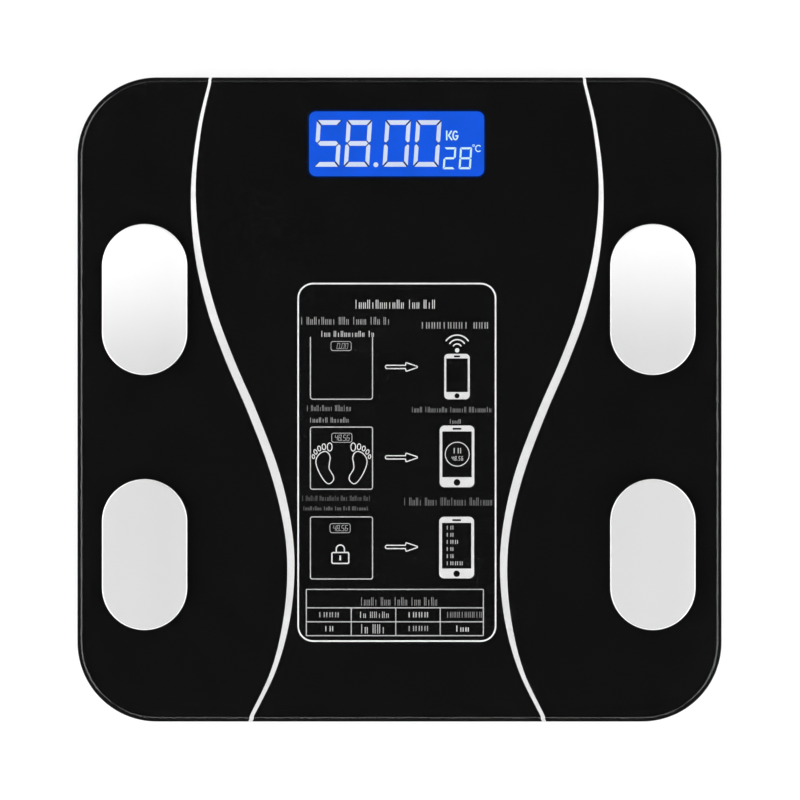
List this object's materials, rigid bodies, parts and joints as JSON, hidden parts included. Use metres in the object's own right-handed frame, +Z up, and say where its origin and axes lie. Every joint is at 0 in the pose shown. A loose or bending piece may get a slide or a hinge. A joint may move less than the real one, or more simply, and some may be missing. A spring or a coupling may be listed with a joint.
{
  "type": "digital bathroom scale",
  "caption": "Square glass-topped digital bathroom scale with rounded corners, metal electrodes, blue display, load-cell feet and a battery door underneath.",
  "frame": {"origin": "middle of the footprint, on the floor under the four foot pads", "axes": "+Z up; +Y towards the display end, -Y towards the person; +X to the person's right"},
  "size_m": [0.26, 0.26, 0.0252],
  "materials": {
    "tempered_glass": "polished, printed black on its underside",
    "electrode_steel": "satin",
    "shell_plastic": "fine grain",
    "foam_tape": "matt",
    "pad_rubber": "matt",
    "cell_steel": "satin",
    "screw_steel": "satin",
    "board_laminate": "satin",
    "display": "glossy, lit from behind",
    "light_guide": "clear",
    "elastomer": "matt",
    "epoxy": "satin",
    "module_can": "satin",
    "switch_plastic": "satin",
    "button_plastic": "satin",
    "battery_sleeve": "satin",
    "contact_plate": "nickel plated",
    "wire_white": "satin",
    "wire_black": "satin",
    "wire_red": "satin"
  },
  "bodies": {
    "housing": {"glass_platform": "tempered_glass", "electrode_front_left": "electrode_steel", "electrode_front_right": "electrode_steel", "electrode_rear_left": "electrode_steel", "electrode_rear_right": "electrode_steel", "base_shell": "shell_plastic", "lcd_frame": "shell_plastic", "load_cell_retainer_front_left": "shell_plastic", "load_cell_retainer_front_right": "shell_plastic", "load_cell_retainer_rear_left": "shell_plastic", "load_cell_retainer_rear_right": "shell_plastic", "bonding_tape": "foam_tape", "load_cell_front_left": "cell_steel", "load_cell_front_right": "cell_steel", "load_cell_rear_left": "cell_steel", "load_cell_rear_right": "cell_steel", "retainer_screw_front_left": "screw_steel", "retainer_screw_front_right": "screw_steel", "retainer_screw_rear_left": "screw_steel", "retainer_screw_rear_right": "screw_steel", "board_screw_front_left": "screw_steel", "board_screw_front_right": "screw_steel", "board_screw_rear_left": "screw_steel", "board_screw_rear_right": "screw_steel", "main_board": "board_laminate", "lcd_panel": "display", "lcd_backlight": "light_guide", "lcd_connector": "elastomer", "controller_chip": "epoxy", "wireless_module": "module_can", "tact_switch": "switch_plastic", "battery_front": "battery_sleeve", "battery_rear": "battery_sleeve", "battery_contact_bridge": "contact_plate", "battery_contact_positive": "contact_plate", "battery_contact_negative": "contact_plate", "contact_spring_front": "contact_plate", "contact_spring_rear": "contact_plate", "load_cell_lead_front_left": "wire_white", "load_cell_lead_front_right": "wire_white", "load_cell_lead_rear_left": "wire_white", "load_cell_lead_rear_right": "wire_white", "electrode_lead_front_left": "wire_black", "electrode_lead_front_right": "wire_black", "electrode_lead_rear_left": "wire_black", "electrode_lead_rear_right": "wire_black", "battery_lead_negative": "wire_black", "battery_lead_positive": "wire_red"},
    "front_left_foot": {"foot_front_left": "shell_plastic", "foot_pad_front_left": "pad_rubber"},
    "front_right_foot": {"foot_front_right": "shell_plastic", "foot_pad_front_right": "pad_rubber"},
    "rear_left_foot": {"foot_rear_left": "shell_plastic", "foot_pad_rear_left": "pad_rubber"},
    "rear_right_foot": {"foot_rear_right": "shell_plastic", "foot_pad_rear_right": "pad_rubber"},
    "unit_button": {"unit_button": "button_plastic"},
    "battery_door": {"battery_door": "shell_plastic"}
  },
  "joints": [
    {"name": "front_left_foot_press", "type": "slide", "parent": "housing", "child": "front_left_foot", "axis": [0, 0, 1], "range_m": [0, 0.00025]},
    {"name": "front_right_foot_press", "type": "slide", "parent": "housing", "child": "front_right_foot", "axis": [0, 0, 1], "range_m": [0, 0.00025]},
    {"name": "rear_left_foot_press", "type": "slide", "parent": "housing", "child": "rear_left_foot", "axis": [0, 0, 1], "range_m": [0, 0.00025]},
    {"name": "rear_right_foot_press", "type": "slide", "parent": "housing", "child": "rear_right_foot", "axis": [0, 0, 1], "range_m": [0, 0.00025]},
    {"name": "unit_button_press", "type": "slide", "parent": "housing", "child": "unit_button", "axis": [0, 0, 1], "range_m": [0, 0.0006], "stiffness_N_per_m": 2500},
    {"name": "battery_door_hinge", "type": "hinge", "parent": "housing", "child": "battery_door", "pos_m": [0, -0.0185, 0.005], "axis": [1, 0, 0], "range_deg": [0, 85]}
  ]
}
